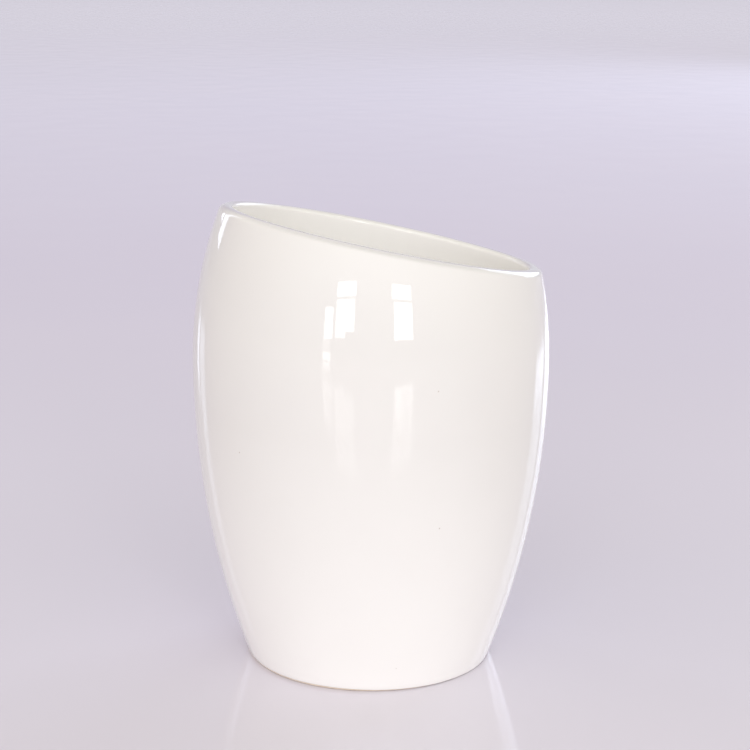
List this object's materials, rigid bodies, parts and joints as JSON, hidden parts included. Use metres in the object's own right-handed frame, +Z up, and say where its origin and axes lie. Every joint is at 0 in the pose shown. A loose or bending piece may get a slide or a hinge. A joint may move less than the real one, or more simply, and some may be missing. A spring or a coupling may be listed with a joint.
{
  "type": "bathroom tumbler",
  "caption": "Barrel-shaped white glazed ceramic tumbler with a slanted mouth, standing on a bare foot ring round a glazed recess.",
  "frame": {"origin": "centre of the foot, at the height where the foot ring rests", "axes": "+Z up; +X towards the low side of the slanted mouth; the XZ plane is the mirror plane"},
  "size_m": [0.081, 0.081, 0.1047],
  "materials": {
    "bare_clay": "bare fired clay, warm off-white, slightly rough",
    "white_glaze": "clear-glossy warm white glaze"
  },
  "bodies": {
    "root": {"ceramic_body": "bare_clay", "glaze_coat": "white_glaze", "base_glaze": "white_glaze"}
  },
  "joints": []
}
